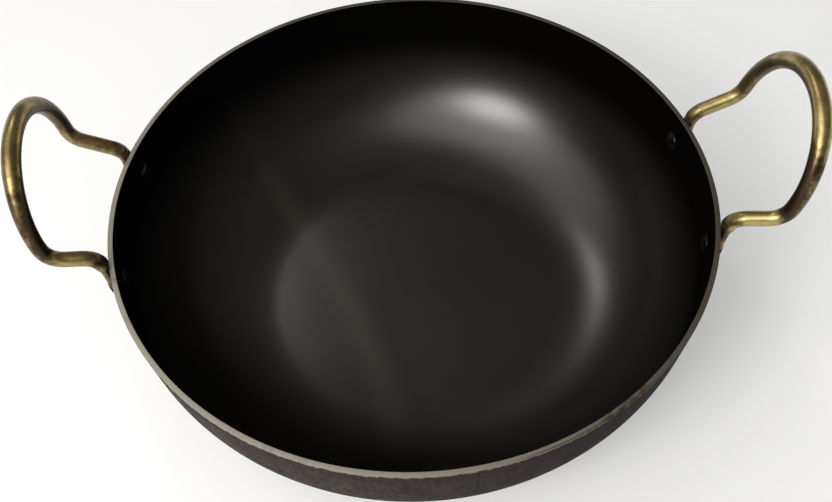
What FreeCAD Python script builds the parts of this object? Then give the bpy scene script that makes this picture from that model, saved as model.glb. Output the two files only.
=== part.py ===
# Kadai: a deep pan pressed from sheet, with two loop handles of round bar.
# Each handle is one bent bar whose ends are flattened into feet and riveted to the outside of the wall.
# Millimetres, +Z up. The origin is the centre of the underside of the base, and the handles lie along X.
import FreeCAD, Part
import math
import os
import Sketcher

SHEET_NAME = "Sizes"

# Driving sizes: name, value in millimetres or degrees, meaning.
DRIVING_SIZES = (
    ("rim_bore", 280.0, "inside diameter at the rim"),
    ("sheet_gauge", 2.5, "thickness of the pressed sheet"),
    ("pan_height", 82.0, "underside of the base to the rim"),
    ("wall_flare", 6.0, "lean of the straight wall from upright, degrees"),
    ("bowl_radius", 65.0, "inside radius between base and wall"),
    ("rim_break", 0.4, "rounding of the two sheared rim edges"),
    ("rod_diameter", 7.0, "diameter of the handle bar"),
    ("foot_gauge", 4.0, "thickness of the flattened foot"),
    ("foot_tail", 9.0, "length of the foot below its rivet"),
    ("foot_waste", 3.0, "metal trimmed off round the end of the foot"),
    ("foot_over_rim", 0.6, "height above the rim where the foot starts to turn round again"),
    ("shoulder_rise", 9.6, "height above the rim of the corner where the bar turns outward"),
    ("shoulder_bend", 7.5, "bend radius of that corner, on the bar's centre line"),
    ("knee_reach", 18.3, "reach of the knees beyond the outside of the rim"),
    ("knee_rise", 15.0, "height above the rim of the knee where the bar turns up"),
    ("knee_bend", 9.5, "bend radius of the knee, on the bar's centre line"),
    ("loop_width", 75.0, "width of the grip loop between bar centre lines"),
    ("loop_side", 7.8, "side of the loop, from the corner of the knee to the half round"),
    ("left_lean", 81.0, "slope of the left loop from level, degrees"),
    ("right_lean", 72.0, "slope of the right loop from level, degrees"),
    ("rivet_spacing", 67.0, "distance between the two rivets of a handle"),
    ("rivet_drop", 15.5, "depth of the rivets below the rim"),
    ("foot_setback", 5.0, "distance that both feet of a handle are set towards the rear, at the rivets"),
    ("foot_slant", 9.0, "lean of the feet towards the front as they rise, degrees"),
    ("rivet_shank", 5.0, "diameter of the rivet shank"),
    ("rivet_head", 10.0, "diameter of the rivet head inside the pan"),
    ("head_height", 2.0, "height of the head inside the pan"),
    ("tail_head", 9.0, "diameter of the head formed on the foot"),
    ("tail_height", 1.6, "height of the head formed on the foot"),
    ("head_land", 0.4, "upright edge of both rivet heads"),
    ("seat_gap", 0.1, "clearance between pieces that are drawn together"),
    ("rivet_clearance", 0.1, "clearance round the shank in its holes"),
)

# Sizes that follow from the driving ones.
DERIVED_SIZES = (
    ("rim_radius", "=rim_bore / 2", "inside radius at the rim"),
    ("rim_outer", "=rim_radius + sheet_gauge / cos(wall_flare)", "outside radius at the rim"),
    ("hole_bore", "=rivet_shank + 2 * rivet_clearance", "diameter of the rivet holes"),
    ("wall_radius", "=rim_outer - rivet_drop * tan(wall_flare)", "outside radius at the rivets"),
    ("foot_width", "=foot_gauge + pi / 4 * (rod_diameter ^ 2 - foot_gauge ^ 2) / foot_gauge",
     "width of the foot, from the same section of metal as the bar"),
    ("foot_fall", "=cos(wall_flare) * cos(foot_slant)", "height gained for each length along the foot"),
    ("foot_top", "=(rivet_drop + foot_over_rim) / foot_fall", "rivet to the top of the flat foot"),
    ("shoulder_climb", "=(rivet_drop + shoulder_rise) / foot_fall", "rivet to the corner of the shoulder"),
    ("wall_hollow", "=rivet_head ^ 2 / (4 * rim_bore)", "hollow of the wall across a rivet head"),
    ("head_seat", "=sheet_gauge + wall_hollow + seat_gap", "outside of the wall to the inner head"),
    ("tail_seat", "=foot_gauge + 2 * seat_gap", "outside of the wall to the formed head"),
    ("punch_travel", "=4 * sheet_gauge", "travel of the rivet punch, half of it each side of the wall"),
)

UP = FreeCAD.Vector(0, 0, 1)
ORIGIN = FreeCAD.Vector(0, 0, 0)
# The start, end and centre of a line or arc in a sketch, and the sketch's own axes.
START, END, CENTRE = 1, 2, 3
SKETCH_ORIGIN, SKETCH_UPRIGHT = -1, -2

# The handles: name, and the turn about Z that takes a handle from +X to its side.
HANDLES = (("left", 180.0), ("right", 0.0))
# The feet: name, and the side of the X axis that the foot lies on.
FEET = (("front", -1), ("rear", 1))


def make_sheet(doc):
    """Write the sizes into a spreadsheet, one named cell each."""
    sheet = doc.addObject("Spreadsheet::Sheet", SHEET_NAME)
    for row, (alias, value, meaning) in enumerate(DRIVING_SIZES + DERIVED_SIZES, start=1):
        sheet.set(f"A{row}", meaning)
        sheet.set(f"B{row}", str(value))
        sheet.setAlias(f"B{row}", alias)
    doc.recompute()
    return sheet


def bind(target, path, formula):
    """Tie a property to the spreadsheet; names in braces are cells of it."""
    names = {alias: f"{SHEET_NAME}.{alias}" for alias, _, _ in DRIVING_SIZES + DERIVED_SIZES}
    target.setExpression(path, formula.format(**names))


def new_sketch(body, name, plane, offset=None):
    """Start a sketch on one of the body's own planes, moved by offset if one is given."""
    sketch = body.newObject("Sketcher::SketchObject", name)
    support = next(item for item in body.Origin.OriginFeatures if item.Role == plane)
    sketch.AttachmentSupport = [(support, "")]
    sketch.MapMode = "FlatFace"
    if offset is not None:
        sketch.AttachmentOffset = offset
    return sketch


def draw_line(sketch, start, end):
    """Add a line between two points (x, y) of the sketch."""
    first = FreeCAD.Vector(start[0], start[1], 0)
    last = FreeCAD.Vector(end[0], end[1], 0)
    return sketch.addGeometry(Part.LineSegment(first, last))


def draw_arc(sketch, centre, radius, start_angle, end_angle):
    """Add an arc about a point (x, y), anticlockwise between two angles in degrees."""
    circle = Part.Circle(FreeCAD.Vector(centre[0], centre[1], 0), UP, radius)
    return sketch.addGeometry(Part.ArcOfCircle(circle, math.radians(start_angle), math.radians(end_angle)))


def constrain(sketch, *rule):
    """Add a geometric constraint."""
    sketch.addConstraint(Sketcher.Constraint(*rule))


def dimension(sketch, name, formula, *rule):
    """Add a dimension and tie it to the spreadsheet."""
    index = sketch.addConstraint(Sketcher.Constraint(*rule))
    sketch.renameConstraint(index, name)
    bind(sketch, f"Constraints.{name}", formula)


def turn_round(body, name, profile):
    """Revolve a profile once about the sketch's upright axis."""
    solid = body.newObject("PartDesign::Revolution", name)
    solid.Profile = profile
    solid.ReferenceAxis = (profile, ["V_Axis"])
    solid.Angle = 360.0
    return solid


def rivet_frame(sizes, side, rear):
    """Give a rivet's centre on the outside of the wall and its foot's outward, upward and sideways directions.

    The frame belongs to a handle on +X. There side is the sign of Y on the foot's side, and rear is the sign
    of Y towards the pan's rear.
    """
    offset = side * sizes.rivet_spacing / 2 + rear * sizes.foot_setback
    angle = math.asin(offset / sizes.wall_radius)
    flare = math.radians(sizes.wall_flare)
    radial = FreeCAD.Vector(math.cos(angle), math.sin(angle), 0)
    centre = radial * sizes.wall_radius + UP * (sizes.pan_height - sizes.rivet_drop)
    outward = radial * math.cos(flare) - UP * math.sin(flare)
    up_wall = radial * math.sin(flare) + UP * math.cos(flare)
    upward = FreeCAD.Rotation(outward, rear * sizes.foot_slant).multVec(up_wall)
    return centre, outward, upward, upward.cross(outward)


def own_sign(sign, turn):
    """Give a sign of the pan's Y as the sign of Y in a handle's own frame."""
    return sign if turn == 0.0 else -sign


def rivet_placement(sizes, side, turn):
    """Place a rivet: its Z along the outward direction, its origin on the outside of the wall."""
    centre, outward, upward, sideways = rivet_frame(sizes, own_sign(side, turn), own_sign(1, turn))
    seat = FreeCAD.Placement(centre, FreeCAD.Rotation(sideways, upward, outward, "ZYX"))
    return FreeCAD.Placement(ORIGIN, FreeCAD.Rotation(UP, turn)).multiply(seat)


def draw_pan_profile(body, sizes):
    """Draw half of the pan's section: base, knuckle and wall, one sheet thick."""
    profile = new_sketch(body, "pan_profile", "XZ_Plane")
    flare = math.radians(sizes.wall_flare)
    inner = sizes.bowl_radius
    outer = inner + sizes.sheet_gauge
    centre_height = sizes.sheet_gauge + inner
    wall_drop = sizes.pan_height - centre_height + inner * math.sin(flare)
    base_radius = sizes.rim_radius - wall_drop * math.tan(flare) - inner * math.cos(flare)
    centre = (base_radius, centre_height)
    across = (math.cos(flare), -math.sin(flare))
    inner_foot = (centre[0] + inner * across[0], centre[1] + inner * across[1])
    outer_foot = (centre[0] + outer * across[0], centre[1] + outer * across[1])
    rim_inside = (sizes.rim_radius, sizes.pan_height)
    rim_outside = (sizes.rim_outer, sizes.pan_height)

    underside = draw_line(profile, (0, 0), (base_radius, 0))
    outer_arc = draw_arc(profile, centre, outer, -90, -sizes.wall_flare)
    outer_wall = draw_line(profile, outer_foot, rim_outside)
    rim = draw_line(profile, rim_outside, rim_inside)
    inner_wall = draw_line(profile, inner_foot, rim_inside)
    inner_arc = draw_arc(profile, centre, inner, -90, -sizes.wall_flare)
    floor = draw_line(profile, (0, sizes.sheet_gauge), (base_radius, sizes.sheet_gauge))
    middle = draw_line(profile, (0, 0), (0, sizes.sheet_gauge))

    constrain(profile, "Coincident", underside, START, SKETCH_ORIGIN, START)
    constrain(profile, "Coincident", middle, START, underside, START)
    constrain(profile, "Coincident", floor, START, middle, END)
    constrain(profile, "Coincident", outer_wall, END, rim, START)
    constrain(profile, "Coincident", rim, END, inner_wall, END)
    constrain(profile, "Coincident", outer_arc, CENTRE, inner_arc, CENTRE)
    constrain(profile, "Vertical", middle)
    for level in (underside, rim, floor):
        constrain(profile, "Horizontal", level)
    for flat, arc, wall in ((underside, outer_arc, outer_wall), (floor, inner_arc, inner_wall)):
        constrain(profile, "Tangent", flat, END, arc, START)
        constrain(profile, "Tangent", arc, END, wall, START)
    constrain(profile, "Parallel", outer_wall, inner_wall)
    dimension(profile, "gauge", "{sheet_gauge}", "DistanceY", middle, START, middle, END, sizes.sheet_gauge)
    dimension(profile, "bowl", "{bowl_radius}", "Radius", inner_arc, inner)
    dimension(profile, "slope", "90 - {wall_flare}", "Angle", inner_wall, math.pi / 2 - flare)
    dimension(profile, "rim_radius", "{rim_radius}",
              "DistanceX", SKETCH_ORIGIN, START, inner_wall, END, sizes.rim_radius)
    dimension(profile, "height", "{pan_height}",
              "DistanceY", SKETCH_ORIGIN, START, inner_wall, END, sizes.pan_height)
    return profile


def make_pan(doc, sizes):
    """Turn the pan from its section, break the rim edges and punch the rivet holes."""
    body = doc.addObject("PartDesign::Body", "pan_body")
    shell = turn_round(body, "pan_shell", draw_pan_profile(body, sizes))
    doc.recompute()
    edges = body.newObject("PartDesign::Fillet", "pan_rim_edges")
    edges.Base = (shell, [f"Edge{index}" for index, edge in enumerate(shell.Shape.Edges, start=1)
                          if isinstance(edge.Curve, Part.Circle)
                          and edge.BoundBox.ZMin > sizes.pan_height - sizes.sheet_gauge])
    bind(edges, "Radius", "{rim_break}")
    doc.recompute()
    for handle, turn in HANDLES:
        for foot, side in FEET:
            punch_hole(doc, body, sizes, f"{handle}_{foot}", rivet_placement(sizes, side, turn))
    return body


def punch_hole(doc, body, sizes, name, seat):
    """Punch one rivet hole through the wall."""
    before = body.Shape.Volume
    hole = body.newObject("PartDesign::Pocket", f"{name}_hole")
    hole.Profile = draw_hole(body, sizes, f"{name}_hole_outline", "XY_Plane", seat)
    hole.SideType = "Symmetric"
    bind(hole, "Length", "{punch_travel}")
    doc.recompute()
    expect_cut(body, before)


def draw_hole(body, sizes, name, plane, offset=None):
    """Draw a rivet hole at the origin of a new sketch."""
    outline = new_sketch(body, name, plane, offset)
    circle = outline.addGeometry(Part.Circle(ORIGIN, UP, sizes.hole_bore / 2))
    constrain(outline, "Coincident", circle, CENTRE, SKETCH_ORIGIN, START)
    dimension(outline, "bore", "{hole_bore}", "Diameter", circle, sizes.hole_bore)
    return outline


def expect_cut(body, before):
    """Stop if a cut left the body as it was."""
    if body.Shape.Volume >= before:
        raise RuntimeError(f"{body.Label}: {body.Tip.Label} cut nothing")


def draw_rivet_head(profile, sizes, name, way, radius, seat, height):
    """Draw half of a rivet head: flat underside, upright land and low dome. way is the sign of Z.

    Returns the underside, the land, the dome and the dome's end on the axis.
    """
    shank = sizes.rivet_shank / 2
    land_height = sizes.head_land
    dome_height = height - land_height
    dome_radius = (radius ** 2 + dome_height ** 2) / (2 * dome_height)
    dome_centre = (0, way * (seat + height - dome_radius))
    pole_angle = way * 90.0
    edge_angle = pole_angle - way * math.degrees(math.asin(radius / dome_radius))
    edge_end, pole_end = (START, END) if way > 0 else (END, START)
    lower, upper = (START, END) if way > 0 else (END, START)
    under = draw_line(profile, (shank, way * seat), (radius, way * seat))
    land = draw_line(profile, (radius, way * seat), (radius, way * (seat + land_height)))
    dome = draw_arc(profile, dome_centre, dome_radius, *sorted((pole_angle, edge_angle)))
    constrain(profile, "Horizontal", under)
    constrain(profile, "Vertical", land)
    constrain(profile, "Coincident", under, END, land, START)
    constrain(profile, "Coincident", land, END, dome, edge_end)
    constrain(profile, "PointOnObject", dome, CENTRE, SKETCH_UPRIGHT)
    constrain(profile, "PointOnObject", dome, pole_end, SKETCH_UPRIGHT)
    dimension(profile, f"{name}_land", "{head_land}", "DistanceY", land, lower, land, upper, land_height)
    return under, land, dome, pole_end


def make_rivet(doc, sizes, name, placement):
    """Turn a rivet: the head inside the pan, the shank, and the tail formed on the foot."""
    body = doc.addObject("PartDesign::Body", name)
    profile = new_sketch(body, f"{name}_profile", "XZ_Plane")
    shank = sizes.rivet_shank / 2
    head_under, head_land, head_dome, head_pole = draw_rivet_head(
        profile, sizes, "head", -1, sizes.rivet_head / 2, sizes.head_seat, sizes.head_height)
    tail_under, tail_land, tail_dome, tail_pole = draw_rivet_head(
        profile, sizes, "tail", 1, sizes.tail_head / 2, sizes.tail_seat, sizes.tail_height)
    head_end = -sizes.head_seat - sizes.head_height
    tail_end = sizes.tail_seat + sizes.tail_height
    stem = draw_line(profile, (shank, -sizes.head_seat), (shank, sizes.tail_seat))
    axis = draw_line(profile, (0, head_end), (0, tail_end))
    constrain(profile, "Vertical", stem)
    constrain(profile, "Coincident", stem, START, head_under, START)
    constrain(profile, "Coincident", stem, END, tail_under, START)
    constrain(profile, "Coincident", axis, START, head_dome, head_pole)
    constrain(profile, "Coincident", axis, END, tail_dome, tail_pole)
    dimension(profile, "shank", "{rivet_shank} / 2", "DistanceX", SKETCH_ORIGIN, START, stem, START, shank)
    dimension(profile, "head_radius", "{rivet_head} / 2",
              "DistanceX", SKETCH_ORIGIN, START, head_land, START, sizes.rivet_head / 2)
    dimension(profile, "tail_radius", "{tail_head} / 2",
              "DistanceX", SKETCH_ORIGIN, START, tail_land, START, sizes.tail_head / 2)
    dimension(profile, "head_seat", "{head_seat}",
              "DistanceY", stem, START, SKETCH_ORIGIN, START, sizes.head_seat)
    dimension(profile, "tail_seat", "{tail_seat}",
              "DistanceY", SKETCH_ORIGIN, START, stem, END, sizes.tail_seat)
    dimension(profile, "head_height", "{head_height}",
              "DistanceY", axis, START, stem, START, sizes.head_height)
    dimension(profile, "tail_height", "{tail_height}",
              "DistanceY", stem, END, axis, END, sizes.tail_height)
    turn_round(body, f"{name}_turned", profile)
    body.Placement = placement
    return body


def round_corner(before, corner, after, radius):
    """Give the start, middle and end of the arc that rounds a corner between two straight runs."""
    back = (before - corner).normalize()
    ahead = (after - corner).normalize()
    half_angle = back.getAngle(ahead) / 2
    run = radius / math.tan(half_angle)
    inward = (back + ahead).normalize()
    middle = corner + inward * (radius / math.sin(half_angle) - radius)
    return corner + back * run, middle, corner + ahead * run


def half_route(sizes, rise, side, rear):
    """Give the points of one half of the bar's centre line, from the neck to the top of the loop's side.

    Also gives the height of the neck above the rivet. rise is the direction that the loop leans in.
    """
    centre, outward, upward, _ = rivet_frame(sizes, side, rear)
    foot = centre + outward * (sizes.seat_gap + sizes.foot_gauge / 2)
    shoulder = foot + upward * sizes.shoulder_climb
    knee = FreeCAD.Vector(
        sizes.rim_outer + sizes.knee_reach, side * sizes.loop_width / 2, sizes.pan_height + sizes.knee_rise)
    shoulder_arc = round_corner(foot, shoulder, knee, sizes.shoulder_bend)
    knee_arc = round_corner(shoulder, knee, knee + rise, sizes.knee_bend)
    side_top = knee + rise * sizes.loop_side
    return (*shoulder_arc, *knee_arc, side_top), (shoulder_arc[0] - foot).Length


def half_curves(points):
    """Give the bends and straight runs through the points of half a route."""
    neck, shoulder_middle, leg_start, leg_end, knee_middle, side_start, side_top = points
    return [
        Part.Arc(neck, shoulder_middle, leg_start),
        Part.LineSegment(leg_start, leg_end),
        Part.Arc(leg_end, knee_middle, side_start),
        Part.LineSegment(side_start, side_top),
    ]


def handle_route(sizes, lean, rear):
    """Give the bar's centre line, from neck to neck, and the height of each neck by the side of its foot.

    The line is a wire of straight runs and tangent arcs.
    """
    rise = FreeCAD.Vector(math.cos(math.radians(lean)), 0, math.sin(math.radians(lean)))
    first, first_neck = half_route(sizes, rise, 1, rear)
    last, last_neck = half_route(sizes, rise, -1, rear)
    crown = (first[-1] + last[-1]) / 2 + rise * (sizes.loop_width / 2)
    grip = Part.Arc(first[-1], crown, last[-1])
    curves = half_curves(first) + [grip] + half_curves(last)[::-1]
    return Part.Wire([curve.toShape() for curve in curves]), {1: first_neck, -1: last_neck}


def draw_flat_section(body, sizes, name):
    """Draw the section of the flattened foot, its long edges round."""
    level = FreeCAD.Placement(UP * sizes.foot_top, FreeCAD.Rotation())
    section = new_sketch(body, name, "XY_Plane", level)
    bind(section, "AttachmentOffset.Base.z", "{foot_top}")
    edge = sizes.foot_gauge / 2
    reach = sizes.foot_width / 2 - edge
    inside = draw_line(section, (-edge, reach), (-edge, -reach))
    near_edge = draw_arc(section, (0, -reach), edge, 180, 360)
    outside = draw_line(section, (edge, -reach), (edge, reach))
    far_edge = draw_arc(section, (0, reach), edge, 0, 180)
    ring = (inside, near_edge, outside, far_edge)
    for current, following in zip(ring, ring[1:] + ring[:1]):
        constrain(section, "Tangent", current, END, following, START)
    for face in (inside, outside):
        constrain(section, "Vertical", face)
    constrain(section, "Symmetric", near_edge, CENTRE, far_edge, CENTRE, SKETCH_ORIGIN, START)
    dimension(section, "edge", "{foot_gauge} / 2", "Radius", near_edge, edge)
    dimension(section, "spread", "{foot_width} - {foot_gauge}",
              "DistanceY", near_edge, CENTRE, far_edge, CENTRE, 2 * reach)
    return section


def draw_bar_section(body, sizes, name, height):
    """Draw the round bar at the top of the neck, a quarter for each side of the flat."""
    section = new_sketch(body, name, "XY_Plane", FreeCAD.Placement(UP * height, FreeCAD.Rotation()))
    radius = sizes.rod_diameter / 2
    quarters = [draw_arc(section, (0, 0), radius, corner, corner + 90) for corner in (135, 225, 315, 405)]
    inside, near_edge, outside, _ = quarters
    for current, following in zip(quarters, quarters[1:] + quarters[:1]):
        constrain(section, "Coincident", current, END, following, START)
    for quarter in quarters:
        constrain(section, "Coincident", quarter, CENTRE, SKETCH_ORIGIN, START)
    constrain(section, "Vertical", inside, START, inside, END)
    constrain(section, "Horizontal", near_edge, START, near_edge, END)
    constrain(section, "Vertical", outside, START, outside, END)
    constrain(section, "Angle", inside, math.pi / 2)
    dimension(section, "radius", "{rod_diameter} / 2", "Radius", inside, radius)
    return section


def draw_end_waste(body, sizes, name):
    """Draw the metal that is trimmed off to leave a half-round end, foot_tail below the rivet."""
    outline = new_sketch(body, name, "YZ_Plane")
    radius = sizes.foot_width / 2
    waste = sizes.foot_waste
    centre = radius - sizes.foot_tail
    bottom = -sizes.foot_tail - waste
    path = (
        (radius, centre),
        (radius + waste, centre),
        (radius + waste, bottom),
        (-radius - waste, bottom),
        (-radius - waste, centre),
        (-radius, centre),
    )
    round_end = draw_arc(outline, (0, centre), radius, 180, 360)
    sides = [draw_line(outline, begin, finish) for begin, finish in zip(path, path[1:])]
    right_ledge, right, floor, left, left_ledge = sides
    ring = [round_end] + sides
    for current, following in zip(ring, ring[1:] + ring[:1]):
        constrain(outline, "Coincident", current, END, following, START)
    for level in (right_ledge, floor, left_ledge):
        constrain(outline, "Horizontal", level)
    for upright in (right, left):
        constrain(outline, "Vertical", upright)
    constrain(outline, "PointOnObject", round_end, CENTRE, SKETCH_UPRIGHT)
    for end in (START, END):
        constrain(outline, "Horizontal", round_end, CENTRE, round_end, end)
    dimension(outline, "end_radius", "{foot_width} / 2", "Radius", round_end, radius)
    for ledge_name, ledge in (("right_waste", right_ledge), ("left_waste", left_ledge)):
        dimension(outline, ledge_name, "{foot_waste}", "DistanceX", ledge, START, ledge, END, waste)
    dimension(outline, "bottom", "{foot_tail} + {foot_waste}",
              "DistanceY", floor, START, SKETCH_ORIGIN, START, -bottom)
    dimension(outline, "centre", "{foot_width} / 2 + {foot_waste}",
              "DistanceY", floor, START, round_end, CENTRE, centre - bottom)
    return outline


def make_foot(doc, sizes, name, side, rear, neck_height):
    """Forge one foot: a flat with round edges, a neck back to the bar, a half-round end and a rivet hole.

    The foot's own frame has its origin on the rivet, X out of the wall and Z up along the wall.
    """
    body = doc.addObject("PartDesign::Body", name)
    section = draw_flat_section(body, sizes, f"{name}_section")
    flat = body.newObject("PartDesign::Pad", f"{name}_flat")
    flat.Profile = section
    flat.Reversed = True
    bind(flat, "Length", "{foot_top} + {foot_tail} + {foot_waste}")
    neck = body.newObject("PartDesign::AdditiveLoft", f"{name}_neck")
    neck.Profile = section
    neck.Sections = [draw_bar_section(body, sizes, f"{name}_bar_section", neck_height)]
    neck.Ruled = True
    doc.recompute()

    cuts = (
        ("end", draw_end_waste(body, sizes, f"{name}_end_waste")),
        ("hole", draw_hole(body, sizes, f"{name}_hole_outline", "YZ_Plane")),
    )
    for cut_name, outline in cuts:
        before = body.Shape.Volume
        cut = body.newObject("PartDesign::Pocket", f"{name}_{cut_name}")
        cut.Profile = outline
        cut.SideType = "Symmetric"
        cut.Type = "ThroughAll"
        doc.recompute()
        expect_cut(body, before)

    centre, outward, upward, sideways = rivet_frame(sizes, side, rear)
    middle = centre + outward * (sizes.seat_gap + sizes.foot_gauge / 2)
    body.Placement = FreeCAD.Placement(middle, FreeCAD.Rotation(outward, sideways, upward, "ZXY"))
    return body


def make_handle(doc, sizes, side_name, turn):
    """Join a bent bar and its two feet into one handle."""
    name = f"{side_name}_handle"
    rear = own_sign(1, turn)
    route, neck_heights = handle_route(sizes, sizes.get(f"{side_name}_lean"), rear)
    path = doc.addObject("Part::Feature", f"{name}_route")
    path.Shape = route
    profile = doc.addObject("Part::Circle", f"{name}_section")
    bind(profile, "Radius", "{rod_diameter} / 2")
    first = route.OrderedEdges[0]
    profile.Placement = FreeCAD.Placement(
        first.valueAt(first.FirstParameter), FreeCAD.Rotation(UP, first.tangentAt(first.FirstParameter)))
    bar = doc.addObject("Part::Sweep", f"{name}_bar")
    bar.Sections = [profile]
    bar.Spine = (path, [f"Edge{index}" for index in range(1, len(route.Edges) + 1)])
    bar.Solid = True
    feet = []
    for foot, side in FEET:
        own_side = own_sign(side, turn)
        feet.append(make_foot(doc, sizes, f"{name}_{foot}_foot", own_side, rear, neck_heights[own_side]))
    handle = doc.addObject("Part::MultiFuse", name)
    handle.Shapes = [bar] + feet
    handle.Refine = True
    handle.Placement = FreeCAD.Placement(ORIGIN, FreeCAD.Rotation(UP, turn))
    return handle


def check(doc, sub_parts):
    """Stop if an object failed to rebuild, a sketch is loose or a sub-part is not one valid solid."""
    for item in doc.Objects:
        if "Invalid" in item.State or "Error" in item.State:
            raise RuntimeError(f"{item.Label}: {item.State}")
        if item.TypeId == "Sketcher::SketchObject" and not item.FullyConstrained:
            raise RuntimeError(f"{item.Label}: the sketch is not fully constrained")
    for item in sub_parts:
        shape = item.Shape
        if shape.isNull() or not shape.isValid() or len(shape.Solids) != 1:
            raise RuntimeError(f"{item.Label}: not one valid solid")


def write(sub_parts):
    """Write each sub-part to its own file, named for its label."""
    os.makedirs("parts", exist_ok=True)
    for item in sub_parts:
        item.Shape.exportStep(f"parts/{item.Label}.step")
        print(f"{item.Label}: {item.Shape.Volume:.0f} mm3")


def main():
    """Build the pan, the handles and the rivets, and write them out."""
    doc = FreeCAD.newDocument("Kadai")
    sizes = make_sheet(doc)
    sub_parts = [make_pan(doc, sizes)]
    for handle, turn in HANDLES:
        sub_parts.append(make_handle(doc, sizes, handle, turn))
        for foot, side in FEET:
            placement = rivet_placement(sizes, side, turn)
            sub_parts.append(make_rivet(doc, sizes, f"{handle}_{foot}_rivet", placement))
    doc.recompute()
    check(doc, sub_parts)
    write(sub_parts)


main()
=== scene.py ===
"""A kadai: a deep pan of pressed black iron with two brass-plated loop handles.

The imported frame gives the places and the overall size, in metres. +Z is up out of the pan, the handles
lie along X and the front of the pan is at -Y.
"""

import logging
import math
from dataclasses import dataclass
from enum import Enum
from typing import Any, Sequence

import bpy
from mathutils import Matrix, Vector

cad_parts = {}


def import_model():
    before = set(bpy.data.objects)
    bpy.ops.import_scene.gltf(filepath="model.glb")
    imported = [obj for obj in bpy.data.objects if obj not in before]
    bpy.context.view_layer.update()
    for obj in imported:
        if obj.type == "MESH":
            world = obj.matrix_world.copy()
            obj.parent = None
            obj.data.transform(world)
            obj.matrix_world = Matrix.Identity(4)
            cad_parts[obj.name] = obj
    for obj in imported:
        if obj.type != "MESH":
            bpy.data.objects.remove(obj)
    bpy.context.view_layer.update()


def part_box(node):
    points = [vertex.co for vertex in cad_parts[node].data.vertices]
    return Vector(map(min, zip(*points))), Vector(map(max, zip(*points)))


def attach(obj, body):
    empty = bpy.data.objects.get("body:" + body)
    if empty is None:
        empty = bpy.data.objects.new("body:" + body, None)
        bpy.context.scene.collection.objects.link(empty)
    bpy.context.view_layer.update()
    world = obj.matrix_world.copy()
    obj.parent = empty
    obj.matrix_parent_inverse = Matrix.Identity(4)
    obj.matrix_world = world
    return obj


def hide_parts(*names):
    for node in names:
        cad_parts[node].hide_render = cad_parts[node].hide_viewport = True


LOG = logging.getLogger("kadai")
MM = 0.001
WELD = 0.001 * MM
BODY = "root"
UP = Vector((0.0, 0.0, 1.0))

Colour = tuple[float, float, float, float]
Span = tuple[float, float]
Station = tuple[float, float, float]
Socket = bpy.types.NodeSocket
Material = bpy.types.Material
Object = bpy.types.Object
INPUT_KINDS = {float: "Float", int: "Int", Vector: "Vector", Object: "Object", Material: "Material"}


class Place(Enum):
    """A place on the pan, with the sign of its side."""

    @property
    def word(self) -> str:
        """The place's name as the frame writes it."""
        return self.name.lower()


class Side(Place):
    """The two handles, each with the sign of X on its side of the pan."""

    LEFT = -1
    RIGHT = 1


class Foot(Place):
    """The two feet of a handle, each with the sign of Y on its side of the pan."""

    FRONT = -1
    REAR = 1


class Slot(Enum):
    """The record's material slots."""

    PAN = "pan"
    HANDLE = "handle"
    RIVET = "rivet"


class Zone(Enum):
    """Where a point lies on the section of the pan's sheet."""

    OUTSIDE = 0.0
    RIM = 1.0
    INSIDE = 2.0


@dataclass(frozen=True)
class Grain:
    """A noise pattern: waves in one unit of length, octaves of finer noise and the strength of each."""

    scale: float
    detail: float = 2.0
    roughness: float = 0.5


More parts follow.
